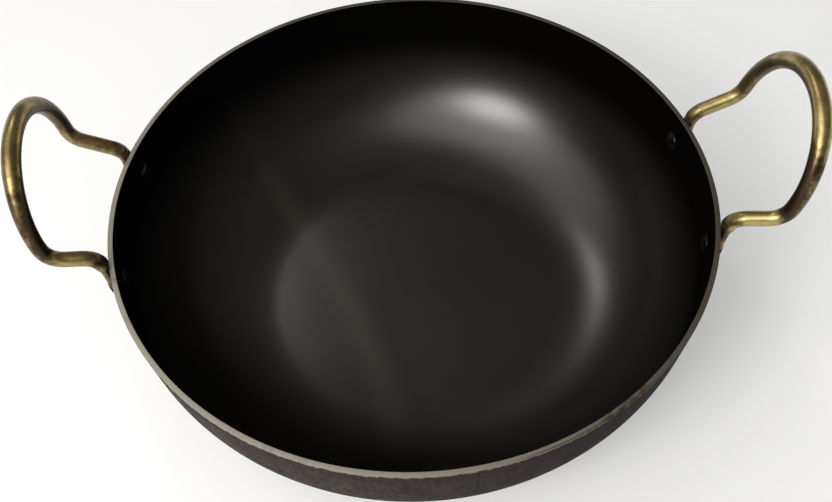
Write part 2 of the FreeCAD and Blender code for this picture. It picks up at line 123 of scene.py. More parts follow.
class NodeSheet:
    """Draws a node tree: adds nodes, feeds their inputs and hands back their outputs."""

    def __init__(self, tree: bpy.types.NodeTree) -> None:
        """Start on a tree."""
        self.tree = tree

    def add(self, kind: str, feeds: dict[Any, Any] | None = None, **settings: Any) -> bpy.types.Node:
        """Add one node.

        Args:
            kind: the node's type name.
            feeds: what goes into its inputs, by name or position. Sockets are linked, other values are set.
            settings: properties of the node itself.

        Returns:
            The new node.
        """
        node = self.tree.nodes.new(kind)
        for name, value in settings.items():
            setattr(node, name, value)
        for key, value in (feeds or {}).items():
            self.feed(node.inputs[key], value)
        return node

    def feed(self, target: Socket, value: Any) -> None:
        """Link a socket into an input, or set the input to a plain value.

        Args:
            target: the input.
            value: the socket or the plain value.
        """
        if isinstance(value, Socket):
            self.tree.links.new(value, target)
        else:
            target.default_value = value

    def math(self, operation: str, *terms: Any) -> Socket:
        """Work out a number from up to three terms."""
        return self.add("ShaderNodeMath", dict(enumerate(terms)), operation=operation).outputs[0]

    def times(self, first: Any, second: Any) -> Socket:
        """Multiply two numbers."""
        return self.math("MULTIPLY", first, second)

    def plus(self, first: Any, second: Any) -> Socket:
        """Add two numbers."""
        return self.math("ADD", first, second)

    def minus(self, first: Any, second: Any) -> Socket:
        """Take the second number from the first."""
        return self.math("SUBTRACT", first, second)

    def times_plus(self, first: Any, second: Any, third: Any) -> Socket:
        """Multiply two numbers and add a third."""
        return self.math("MULTIPLY_ADD", first, second, third)

    def larger(self, first: Any, second: Any) -> Socket:
        """Give the larger of two numbers."""
        return self.math("MAXIMUM", first, second)

    def vector(self, operation: str, *terms: Any) -> Socket:
        """Work out a vector from up to three vectors."""
        return self.add("ShaderNodeVectorMath", dict(enumerate(terms)), operation=operation).outputs["Vector"]

    def measure(self, operation: str, *terms: Any) -> Socket:
        """Work out a number, such as a length, from vectors."""
        return self.add("ShaderNodeVectorMath", dict(enumerate(terms)), operation=operation).outputs["Value"]

    def scale(self, vector: Any, factor: Any) -> Socket:
        """Multiply a vector by a number."""
        node = self.add("ShaderNodeVectorMath", {"Vector": vector, "Scale": factor}, operation="SCALE")
        return node.outputs["Vector"]

    def split(self, vector: Any) -> tuple[Socket, Socket, Socket]:
        """Give the three parts of a vector."""
        parts = self.add("ShaderNodeSeparateXYZ", {0: vector}).outputs
        return parts[0], parts[1], parts[2]

    def join(self, x: Any, y: Any, z: Any) -> Socket:
        """Make a vector of three parts."""
        return self.add("ShaderNodeCombineXYZ", {0: x, 1: y, 2: z}).outputs[0]

    def upright(self, height: Any) -> Socket:
        """Make a vector that points straight up."""
        return self.join(0.0, 0.0, height)

    def ramp(self, value: Any, low: Any, high: Any, low_to: float = 0.0, high_to: float = 1.0) -> Socket:
        """Ease a number from one range to another.

        Args:
            value: the number.
            low: where the change starts.
            high: where it ends.
            low_to: the result at and before low.
            high_to: the result at and after high.

        Returns:
            The eased number.
        """
        feeds = {"Value": value, "From Min": low, "From Max": high, "To Min": low_to, "To Max": high_to}
        return self.add("ShaderNodeMapRange", feeds, interpolation_type="SMOOTHSTEP").outputs[0]

    def fall(self, value: Any, low: Any, high: Any) -> Socket:
        """Ease a number down from 1 at low to 0 at high."""
        return self.ramp(value, low, high, 1.0, 0.0)

    def blend(self, factor: Any, first: Any, second: Any) -> Socket:
        """Mix two numbers."""
        return self.add("ShaderNodeMix", {0: factor, 2: first, 3: second}, data_type="FLOAT").outputs[0]

    def merge(self, factor: Any, first: Any, second: Any) -> Socket:
        """Mix two vectors."""
        return self.add("ShaderNodeMix", {0: factor, 4: first, 5: second}, data_type="VECTOR").outputs[1]

    def tint(self, factor: Any, first: Any, second: Any) -> Socket:
        """Mix two colours."""
        return self.add("ShaderNodeMix", {0: factor, 6: first, 7: second}, data_type="RGBA").outputs[2]

    def noise(self, vector: Any, grain: Grain) -> Socket:
        """Give soft noise between 0 and 1."""
        feeds = {"Vector": vector, "Scale": grain.scale, "Detail": grain.detail, "Roughness": grain.roughness}
        return self.add("ShaderNodeTexNoise", feeds).outputs[0]

    def swing(self, vector: Any, grain: Grain) -> Socket:
        """Give soft noise between -0.5 and 0.5."""
        return self.minus(self.noise(vector, grain), 0.5)


class FinishSheet(NodeSheet):
    """The node tree of one material."""

    def __init__(self, name: str) -> None:
        """Start a material with only an output.

        Args:
            name: the material's name.
        """
        self.material = bpy.data.materials.new(name)
        self.material.use_nodes = True
        super().__init__(self.material.node_tree)
        self.tree.nodes.clear()
        self.output = self.add("ShaderNodeOutputMaterial")

    def place(self) -> Socket:
        """Give the place of a point in the pan's own frame."""
        return self.add("ShaderNodeTexCoord").outputs["Object"]

    def attribute(self, name: str) -> Socket:
        """Read a number that the mesh carries."""
        return self.add("ShaderNodeAttribute", attribute_name=name).outputs["Fac"]

    def bump(self, height: Any, depth: float, share: float) -> Socket:
        """Give a normal that follows heights from 0 to 1, where 1 is depth and share of it shows."""
        feeds = {"Height": height, "Distance": depth, "Strength": share}
        return self.add("ShaderNodeBump", feeds).outputs[0]

    def surface(self, feeds: dict[str, Any]) -> Material:
        """End the tree in a surface shader.

        Args:
            feeds: what goes into the shader's inputs, by name.

        Returns:
            The finished material.
        """
        shader = self.add("ShaderNodeBsdfPrincipled", feeds)
        self.feed(self.output.inputs["Surface"], shader.outputs[0])
        return self.material


class ShapeSheet(NodeSheet):
    """A geometry tree with named inputs."""

    def __init__(self, name: str, values: dict[str, Any]) -> None:
        """Start a tree.

        Args:
            name: the tree's name.
            values: the tree's inputs by name, each with the value that it is run with.
        """
        tree = bpy.data.node_groups.new(name, "GeometryNodeTree")
        super().__init__(tree)
        self.values = {}
        for key, value in values.items():
            kind = f"NodeSocket{INPUT_KINDS[type(value)]}"
            socket = tree.interface.new_socket(key, in_out="INPUT", socket_type=kind)
            self.values[socket.identifier] = value
        tree.interface.new_socket("Shape", in_out="OUTPUT", socket_type="NodeSocketGeometry")
        self.given = self.add("NodeGroupInput").outputs

    def shape_of(self, key: str) -> Socket:
        """Give the geometry of the object in a named input."""
        return self.add("GeometryNodeObjectInfo", {"Object": self.given[key]}).outputs["Geometry"]

    def move(self, shape: Socket, **feeds: Any) -> Socket:
        """Set the Position of each point, or shift it by an Offset."""
        return self.add("GeometryNodeSetPosition", {"Geometry": shape, **feeds}).outputs[0]

    def store(self, shape: Socket, name: str, value: Any) -> Socket:
        """Keep a number on the mesh's points for its finish to read."""
        feeds = {"Geometry": shape, "Name": name, "Value": value}
        return self.add("GeometryNodeStoreNamedAttribute", feeds, data_type="FLOAT").outputs[0]

    def read(self, name: str, kind: str = "FLOAT") -> Socket:
        """Read a value that the points of a shape carry."""
        return self.add("GeometryNodeInputNamedAttribute", {"Name": name}, data_type=kind).outputs[0]

    def sample(self, shape: Socket, kind: str, value: Any, index: Any) -> Socket:
        """Read a value at one numbered point of a shape."""
        feeds = {"Geometry": shape, "Value": value, "Index": index}
        return self.add("GeometryNodeSampleIndex", feeds, data_type=kind).outputs[0]

    def position(self) -> Socket:
        """Give the place of each point."""
        return self.add("GeometryNodeInputPosition").outputs[0]

    def around(self, place: Socket) -> Socket:
        """Give the level direction from the pan's axis to a place."""
        x, y, _ = self.split(place)
        return self.vector("NORMALIZE", self.join(x, y, 0.0))

    def lathe(self, section: Socket, steps: Socket) -> Socket:
        """Turn a section once round Z.

        Args:
            section: a row of points with the radius in X and the height in Z, each with its zone.
            steps: steps round the axis.

        Returns:
            A closed mesh whose points carry the zone.
        """
        rows = self.add("GeometryNodeAttributeDomainSize", {"Geometry": section}).outputs["Point Count"]
        columns = self.plus(steps, 1.0)
        grid = self.add("GeometryNodeMeshGrid", {"Vertices X": columns, "Vertices Y": rows}).outputs["Mesh"]
        index = self.add("GeometryNodeInputIndex").outputs[0]
        row = self.math("MODULO", index, rows)
        column = self.math("FLOOR", self.math("DIVIDE", index, rows))
        angle = self.times(column, self.math("DIVIDE", math.tau, steps))
        radius, _, height = self.split(self.sample(section, "FLOAT_VECTOR", self.position(), row))
        x = self.times(radius, self.math("COSINE", angle))
        y = self.times(radius, self.math("SINE", angle))
        turned = self.move(grid, Position=self.join(x, y, height))
        zone = self.sample(section, "FLOAT", self.read("zone"), row)
        return self.close(self.store(turned, "zone", zone))

    def close(self, shape: Socket) -> Socket:
        """Weld seams and poles and shade the mesh smooth."""
        welded = self.add("GeometryNodeMergeByDistance", {"Geometry": shape, "Distance": WELD})
        return self.add("GeometryNodeSetShadeSmooth", {"Geometry": welded.outputs[0]}).outputs[0]

    def make(self, name: str, shape: Socket) -> Object:
        """End the tree with its finish, run it and keep the result as a plain mesh.

        Args:
            name: the piece's name.
            shape: the geometry that the tree gives.

        Returns:
            The new object, at the origin. The helper objects among the tree's inputs are removed.
        """
        real = self.add("GeometryNodeRealizeInstances", {"Geometry": shape}).outputs[0]
        done = self.add("GeometryNodeSetMaterial", {"Geometry": real, "Material": self.given["Finish"]})
        self.add("NodeGroupOutput", {"Shape": done.outputs[0]})
        piece = new_object(name, bpy.data.meshes.new(name))
        modifier = piece.modifiers.new("shape", "NODES")
        modifier.node_group = self.tree
        for identifier, value in self.values.items():
            modifier[identifier] = value
        depsgraph = bpy.context.evaluated_depsgraph_get()
        mesh = bpy.data.meshes.new_from_object(
            piece.evaluated_get(depsgraph), preserve_all_data_layers=True, depsgraph=depsgraph)
        piece.modifiers.remove(modifier)
        piece.data = mesh
        for helper in self.values.values():
            if isinstance(helper, Object):
                bpy.data.objects.remove(helper)
        return piece


def new_object(name: str, data: Any) -> Object:
    """Add an object to the scene.

    Args:
        name: the object's name.
        data: its mesh, curve, lamp or camera.

    Returns:
        The new object.
    """
    made = bpy.data.objects.new(name, data)
    bpy.context.scene.collection.objects.link(made)
    return made


def section_object(name: str, stations: Sequence[Station]) -> Object:
    """Make a helper object that holds a section.

    Args:
        name: the helper's name.
        stations: radius, height and zone of each point in order.

    Returns:
        A mesh of loose points that carry the zone.
    """
    mesh = bpy.data.meshes.new(name)
    mesh.from_pydata([(radius, 0.0, height) for radius, height, _ in stations], [], [])
    zones = mesh.attributes.new("zone", "FLOAT", "POINT")
    zones.data.foreach_set("value", [zone for _, _, zone in stations])
    return new_object(name, mesh)


def between(start: Vector, end: Vector, steps: int) -> list[Vector]:
    """Give evenly spaced points from start up to, but not at, end."""
    return [start.lerp(end, step / steps) for step in range(steps)]


def rounded(before: Vector, corner: Vector, after: Vector, radius: float, steps: int) -> list[Vector]:
    """Round a corner between two straight runs.

    Args:
        before: a point on the first run.
        corner: where the runs meet.
        after: a point on the second run.
        radius: radius of the bend.
        steps: steps along the bend.

    Returns:
        The points of the arc, both ends among them.
    """
    back = (before - corner).normalized()
    ahead = (after - corner).normalized()
    half = back.angle(ahead) / 2
    inward = (back + ahead).normalized()
    centre = corner + inward * (radius / math.sin(half))
    across = (ahead - back).normalized()
    sweep = math.pi / 2 - half
    turns = [sweep * (2 * step / steps - 1) for step in range(steps + 1)]
    return [centre - inward * (radius * math.cos(turn)) + across * (radius * math.sin(turn))
            for turn in turns]


@dataclass(frozen=True)
class Spot:
    """What the pan's finishes read at a point.

    The direction around is level, out from the pan's axis. The lit side is 1 at the front left, where the
    light falls, and 0 opposite; it paints light and shade into the rim and the outside.
    """

    place: Socket
    around: Socket
    radius: Socket
    below_rim: Socket
    lit_side: Socket


@dataclass(frozen=True)
class InsideBlack:
    """Satin black, with fine grain, faint turned lines and one paler streak across the base.

    Roughness and shine are given for the base and the wall, and the streak's line by start, slope and bow.
    """

    black: Colour = (0.0014, 0.0011, 0.0009, 1.0)
    # painted shade: the paler patches stop short of the rim, so the wall under the rim is painted darker as
    # shade
    faded: Colour = (0.0046, 0.0035, 0.0028, 1.0)
    faded_heights: Span = (20 * MM, 55 * MM)
    cloud: Grain = Grain(14.0, 3.0, 0.55)
    cloud_span: Span = (0.2, 0.8)
    cloud_rough: float = 0.05
    rough_heights: Span = (28 * MM, 62 * MM)
    rough: Span = (0.28, 0.48)
    shine_heights: Span = (28 * MM, 60 * MM)
    shine: Span = (0.8, 0.02)
    dull_side: Vector = Vector((-0.45, -0.89, 0.0))
    dull_reach: Span = (45 * MM, 105 * MM)
    dull_shine: float = 0.4
    pits: Grain = Grain(1700.0, 2.0, 0.6)
    turned: Grain = Grain(700.0, 3.0, 0.6)
    turned_share: float = 0.3
    smear: Colour = (0.019, 0.0148, 0.012, 1.0)
    smear_line: tuple[float, float, float] = (-39.7 * MM, -0.41, -1.31)
    smear_widths: Span = (3 * MM, 18 * MM)
    smear_rear: Span = (110 * MM, 40 * MM)
    smear_front: Span = (-105 * MM, -55 * MM)
    smear_share: float = 0.8
    wander: Grain = Grain(22.0)
    wander_width: float = 8 * MM

    def smeared(self, sheet: FinishSheet, place: Socket) -> Socket:
        """Find how much of the paler streak covers a point. It bows across the base and fades at both ends.

        Args:
            sheet: the material's tree.
            place: the place of the point.

        Returns:
            The share that is covered.
        """
        x, y, _ = sheet.split(place)
        start, slope, bow = self.smear_line
        line = sheet.times_plus(y, sheet.times_plus(y, bow, slope), start)
        aside = sheet.math("ABSOLUTE", sheet.minus(x, line))
        wander = sheet.times(sheet.noise(place, self.wander), self.wander_width)
        smear = sheet.fall(sheet.plus(aside, wander), *self.smear_widths)
        for end in (self.smear_rear, self.smear_front):
            smear = sheet.times(smear, sheet.ramp(y, *end))
        return sheet.times(smear, self.smear_share)

    def parts(self, sheet: FinishSheet, place: Socket) -> tuple[Socket, Socket, Socket, Socket]:
        """Draw the finish, shiny on the base and dull towards the rim and the front.

        Args:
            sheet: the material's tree.
            place: the place of a point.

        Returns:
            Colour, roughness, shine and relief.
        """
        _, _, z = sheet.split(place)
        cloud = sheet.noise(place, self.cloud)
        # painted shade near the rim: paler patches low down fade out to the darker black under the rim
        worn = sheet.times(sheet.ramp(cloud, *self.cloud_span), sheet.fall(z, *self.faded_heights))
        colour = sheet.tint(worn, self.black, self.faded)
        colour = sheet.tint(self.smeared(sheet, place), colour, self.smear)
        roughness = sheet.ramp(z, *self.rough_heights, *self.rough)
        roughness = sheet.plus(roughness, sheet.times(cloud, self.cloud_rough))
        forward = sheet.measure("DOT_PRODUCT", place, self.dull_side)
        shine = sheet.times(sheet.ramp(z, *self.shine_heights, *self.shine),
                            sheet.ramp(forward, *self.dull_reach, 1.0, self.dull_shine))
        lines = sheet.noise(sheet.join(sheet.measure("LENGTH", place), 0.0, 0.0), self.turned)
        relief = sheet.blend(self.turned_share, sheet.noise(place, self.pits), lines)
        return colour, roughness, shine, relief


@dataclass(frozen=True)
class BareRim:
    """The sheared edge: painted lighter at the front left, where the light falls, and darker elsewhere, with
    smudges, a burr and a little rust.
    """

    rim_outer: float
    # painted light and shade: the first colour is the rim where the light falls, the next the rim on the far
    # side
    bare: Colour = (0.31, 0.29, 0.248, 1.0)
    dull: Colour = (0.085, 0.074, 0.06, 1.0)
    smudged: Colour = (0.04, 0.034, 0.03, 1.0)
    smudge: Grain = Grain(16.0, 5.0, 0.7)
    smudge_span: Span = (0.52, 0.8)
    smudge_share: float = 0.55
    burr_angle: float = math.radians(298.0)
    burr_width: float = 0.3
    burr_inset: float = 0.75 * MM
    burr_edge: Span = (0.1 * MM, 0.4 * MM)
    burr_share: float = 0.8
    rust: Colour = (0.05, 0.024, 0.011, 1.0)
    rust_angle: float = math.radians(304.5)
    rust_width: float = 0.11
    rust_spots: Grain = Grain(190.0, 3.0, 0.55)
    rust_span: Span = (0.44, 0.62)

    def colour(self, sheet: FinishSheet, spot: Spot) -> Socket:
        """Draw the edge.

        Args:
            sheet: the material's tree.
            spot: the point.

        Returns:
            The colour.
        """
        # painted light and shade: the rim runs from dull to bright bare metal towards the front left, where
        # the light falls
        colour = sheet.tint(spot.lit_side, self.dull, self.bare)
        smudge = sheet.ramp(sheet.noise(spot.around, self.smudge), *self.smudge_span)
        colour = sheet.tint(sheet.times(smudge, self.smudge_share), colour, self.smudged)
        across = sheet.math("ABSOLUTE", sheet.minus(spot.radius, self.rim_outer - self.burr_inset))
        groove = sheet.fall(across, *self.burr_edge)
        burr = sheet.times(groove, self.near(sheet, spot, self.burr_angle, self.burr_width))
        colour = sheet.tint(sheet.times(burr, self.burr_share), colour, self.smudged)
        spots = sheet.ramp(sheet.noise(spot.place, self.rust_spots), *self.rust_span)
        rusty = sheet.times(spots, self.near(sheet, spot, self.rust_angle, self.rust_width))
        return sheet.tint(rusty, colour, self.rust)

    def near(self, sheet: FinishSheet, spot: Spot, angle: float, width: float) -> Socket:
        """Give 1 near an angle round the pan, easing to 0 at a width from it, in radians."""
        centre = Vector((math.cos(angle), math.sin(angle), 0.0))
        return sheet.fall(sheet.measure("DISTANCE", spot.around, centre), width / 2, width)


@dataclass(frozen=True)
class DrawnOutside:
    """The dull outside: mottled, greyer below the rim, with upright marks where the sheet was drawn down, and
    painted shade away from the front left.

    A small rise draws a pattern out into upright streaks, and a large one keeps it patchy.
    """

    drawn: Colour = (0.0485, 0.0335, 0.0335, 1.0)
    dark: Colour = (0.0088, 0.0067, 0.0068, 1.0)
    grey: Colour = (0.073, 0.063, 0.057, 1.0)
    grey_drop: float = 2 * MM
    grey_wander: float = -16 * MM
    grey_span: Span = (-3 * MM, 7 * MM)
    wide: Grain = Grain(11.0, 4.0, 0.6)
    wide_span: Span = (0.3, 0.65)
    blotch: Grain = Grain(26.0, 4.0, 0.65)
    patch_rise: float = 4.5
    marks: Grain = Grain(60.0, 3.0, 0.65)
    mark_span: Span = (0.47, 0.3)
    mark_shares: Span = (0.12, 0.5)
    mark_rise: float = 0.15
    speckle: Grain = Grain(380.0, 4.0, 0.75)
    speckle_span: Span = (0.6, 0.38)
    speckle_share: float = 0.5
    # painted shade: how far the wall is darkened on the side away from the light
    far_shade: float = 0.78

    def parts(self, sheet: FinishSheet, spot: Spot) -> tuple[Socket, Socket]:
        """Draw the finish.

        Args:
            sheet: the material's tree.
            spot: the point.

        Returns:
            Colour and relief.
        """
        streaks, patches = (sheet.vector("ADD", spot.around, sheet.upright(sheet.times(spot.below_rim, rise)))
                            for rise in (self.mark_rise, self.patch_rise))
        wide = sheet.noise(patches, self.wide)
        marks = sheet.noise(streaks, self.marks)
        below_edge = sheet.times_plus(sheet.noise(patches, self.blotch), self.grey_wander,
                                      sheet.plus(spot.below_rim, self.grey_drop))
        grey = sheet.times(sheet.ramp(below_edge, *self.grey_span), sheet.ramp(wide, *self.wide_span))
        colour = sheet.tint(grey, self.drawn, self.grey)
        lines = sheet.times(sheet.ramp(marks, *self.mark_span),
                            sheet.ramp(wide, *self.wide_span, *self.mark_shares))
        speckle = sheet.ramp(sheet.noise(spot.place, self.speckle), *self.speckle_span)
        mottled = sheet.times(speckle, self.speckle_share)
        colour = sheet.tint(sheet.plus(lines, mottled), colour, self.dark)
        # painted shade: the wall darkens away from the front left, where the light falls
        shade = sheet.blend(spot.lit_side, self.far_shade, 0.0)
        return sheet.tint(shade, colour, self.dark), marks


@dataclass(frozen=True)
class PanFinish:
    """The pan's finish: black inside, bare on the rim and dull outside."""

    height: float
    rim: BareRim
    inside: InsideBlack = InsideBlack()
    outside: DrawnOutside = DrawnOutside()
    # the side where the light falls, for the light and shade painted into the rim and the outside
    bright_side: Vector = Vector((-0.8, -0.6, 0.0))
    bright_span: Span = (-0.4, 1.0)
    inside_zone: Span = (1.35, 1.75)
    rim_zone: Span = (0.2, 1.0)
    ragged: Grain = Grain(48.0, 5.0, 0.8)
    ragged_span: Span = (0.38, 0.72)
    scrape_depth: float = 2.8 * MM
    scrape_whole: float = 0.4
    scrape_share: float = 0.75
    outside_rough: float = 0.8
    bare_rough: float = 0.5
    bare_metallic: float = 0.5
    outside_shine: float = 0.08
    relief: float = 0.02 * MM
    relief_share: float = 0.4

    def spot(self, sheet: FinishSheet) -> Spot:
        """Read what the finishes need at a point.

        Args:
            sheet: the material's tree.

        Returns:
            The point.
        """
        place = sheet.place()
        x, y, z = sheet.split(place)
        level = sheet.join(x, y, 0.0)
        around = sheet.vector("NORMALIZE", level)
        lit_side = sheet.ramp(sheet.measure("DOT_PRODUCT", around, self.bright_side), *self.bright_span)
        return Spot(place, around, sheet.measure("LENGTH", level), sheet.minus(self.height, z), lit_side)

    def bared(self, sheet: FinishSheet, spot: Spot, zone: Socket) -> Socket:
        """Find how bare the metal is: all over the rim, and down to a ragged line below it outside.

        Args:
            sheet: the material's tree.
            spot: the point.
            zone: where the point lies on the sheet's section.

        Returns:
            The bare share.
        """
        ragged = sheet.ramp(sheet.noise(spot.around, self.ragged), *self.ragged_span)
        scrape = sheet.times(ragged, self.scrape_depth)
        scraped = sheet.fall(spot.below_rim, sheet.times(scrape, self.scrape_whole), scrape)
        return sheet.larger(sheet.ramp(zone, *self.rim_zone), sheet.times(scraped, self.scrape_share))

    def material(self) -> Material:
        """Draw the material.

        Returns:
            The pan's material.
        """
        sheet = FinishSheet("pan_iron")
        spot = self.spot(sheet)
        zone = sheet.attribute("zone")
        inside = sheet.ramp(zone, *self.inside_zone)
        bared = self.bared(sheet, spot, zone)
        black, black_rough, shine, black_relief = self.inside.parts(sheet, spot.place)
        drawn, drawn_relief = self.outside.parts(sheet, spot)
        outer = sheet.tint(bared, drawn, self.rim.colour(sheet, spot))
        outer_rough = sheet.blend(bared, self.outside_rough, self.bare_rough)
        bare_metal = sheet.times(sheet.minus(1.0, inside), bared)
        relief = sheet.blend(inside, drawn_relief, black_relief)
        return sheet.surface({
            "Base Color": sheet.tint(inside, outer, black),
            "Roughness": sheet.blend(inside, outer_rough, black_rough),
            "Metallic": sheet.times(bare_metal, self.bare_metallic),
            "Specular IOR Level": sheet.blend(inside, self.outside_shine, shine),
            "Normal": sheet.bump(relief, self.relief, self.relief_share),
        })


@dataclass(frozen=True)
class BrassFinish:
    """Brass-coloured plating, dull and tarnished towards the bends and the feet, with painted shade on the
    side of the bar that faces away from the light.

    The shares of the stains and shade and of the bends are given for the rear and the front of the handle.
    """

    name: str
    bright: Colour
    dull: Colour
    stained_to: float
    root_to: float
    stain: Colour = (0.037, 0.0195, 0.0093, 1.0)
    stain_span: Span = (0.48, 0.88)
    stain_shares: Span = (0.74, 0.97)
    front_span: Span = (-12 * MM, -36 * MM)
    bend_start: Span = (44 * MM, 62 * MM)
    bend_fade: float = 70 * MM
    bend_shares: Span = (0.44, 0.66)
    inner_span: Span = (-0.75, 0.45)
    inner_shares: Span = (0.42, 1.0)
    root_fade: float = 26 * MM
    root_share: float = 0.26
    shaded_wander: float = 0.5
    shaded_span: Span = (0.2, 1.0)
    cloud: Grain = Grain(60.0, 4.0, 0.6)
    cloud_span: Span = (0.3, 0.7)
    blotch: Grain = Grain(150.0, 5.0, 0.65)
    grain: Grain = Grain(900.0, 3.0, 0.6)
    grain_share: float = 0.35
    rough: float = 0.31
    rough_gain: float = 0.1
    coat: float = 0.26
    coat_rough: float = 0.22
    relief: float = 0.02 * MM
    relief_share: float = 0.35

    def stained(self, sheet: FinishSheet, place: Socket, blotch: Socket) -> tuple[Socket, Socket]:
        """Find the stains in the bends and at the feet, and the painted shade and painted dark reflection on
        the side of the bar that faces the pan, back and down, away from the light.

        Args:
            sheet: the material's tree.
            place: the place of a point.
            blotch: the noise that breaks the stains up.

        Returns:
            How much stains or painted shade darken the point, and how much of that covers the brass, more at
            the front.
        """
        _, y, _ = sheet.split(place)
        front = sheet.ramp(y, *self.front_span)
        reach = sheet.attribute("reach")
        away = sheet.attribute("away")
        bend = sheet.times(sheet.ramp(reach, *self.bend_start),
                           sheet.fall(reach, self.bend_fade, self.stained_to))
        # partly painted shade: the bends are darker on the side that faces away from the light
        bend = sheet.times(bend, sheet.ramp(away, *self.inner_span, *self.inner_shares))
        bend = sheet.times(bend, sheet.blend(front, *self.bend_shares))
        root = sheet.times(sheet.fall(reach, self.root_fade, self.root_to), self.root_share)
        stain = sheet.ramp(sheet.plus(blotch, sheet.larger(bend, root)), *self.stain_span)
        # painted shade and painted dark reflection: the side of the bar that faces away from the light is
        # darkened
        shaded = sheet.ramp(sheet.times_plus(blotch, self.shaded_wander, away), *self.shaded_span)
        return sheet.larger(stain, shaded), sheet.blend(front, *self.stain_shares)

    def material(self) -> Material:
        """Draw the material.

        Returns:
            The handle's material.
        """
        sheet = FinishSheet(self.name)
        place = sheet.place()
        cloud = sheet.noise(place, self.cloud)
        grain = sheet.noise(place, self.grain)
        stain, share = self.stained(sheet, place, sheet.noise(place, self.blotch))
        mottled = sheet.times_plus(sheet.minus(grain, 0.5), self.grain_share, cloud)
        colour = sheet.tint(sheet.ramp(mottled, *self.cloud_span), self.bright, self.dull)
        return sheet.surface({
            "Base Color": sheet.tint(sheet.times(stain, share), colour, self.stain),
            "Roughness": sheet.times_plus(sheet.plus(cloud, stain), self.rough_gain, self.rough),
            "Metallic": 1.0,
            "Coat Weight": self.coat,
            "Coat Roughness": self.coat_rough,
            "Normal": sheet.bump(grain, self.relief, self.relief_share),
        })


@dataclass(frozen=True)
class RivetFinish:
    """Dark satin rivet, a little worn on its crown."""

    dark: Colour = (0.0016, 0.0013, 0.0011, 1.0)
    worn: Colour = (0.006, 0.0049, 0.004, 1.0)
    wear: Grain = Grain(320.0, 4.0, 0.65)
    wear_span: Span = (0.5, 0.75)
    wear_rough: float = 0.12
    rough: float = 0.19
    shine: float = 0.25
    grain: Grain = Grain(700.0, 3.0, 0.6)
    relief: float = 0.03 * MM
    relief_share: float = 0.4

    def material(self) -> Material:
        """Draw the material.

        Returns:
            The rivets' material.
        """
        sheet = FinishSheet("rivet_iron")
        place = sheet.place()
        wear = sheet.ramp(sheet.noise(place, self.wear), *self.wear_span)
        return sheet.surface({
            "Base Color": sheet.tint(wear, self.dark, self.worn),
            "Roughness": sheet.times_plus(wear, self.wear_rough, self.rough),
            "Metallic": 0.0,
            "Specular IOR Level": self.shine,
            "Normal": sheet.bump(sheet.noise(place, self.grain), self.relief, self.relief_share),
        })


@dataclass(frozen=True)
class WallPoint:
    """A rivet's centre on the outside of the wall, with the directions out of and up along the wall."""

    centre: Vector
    outward: Vector
    upward: Vector


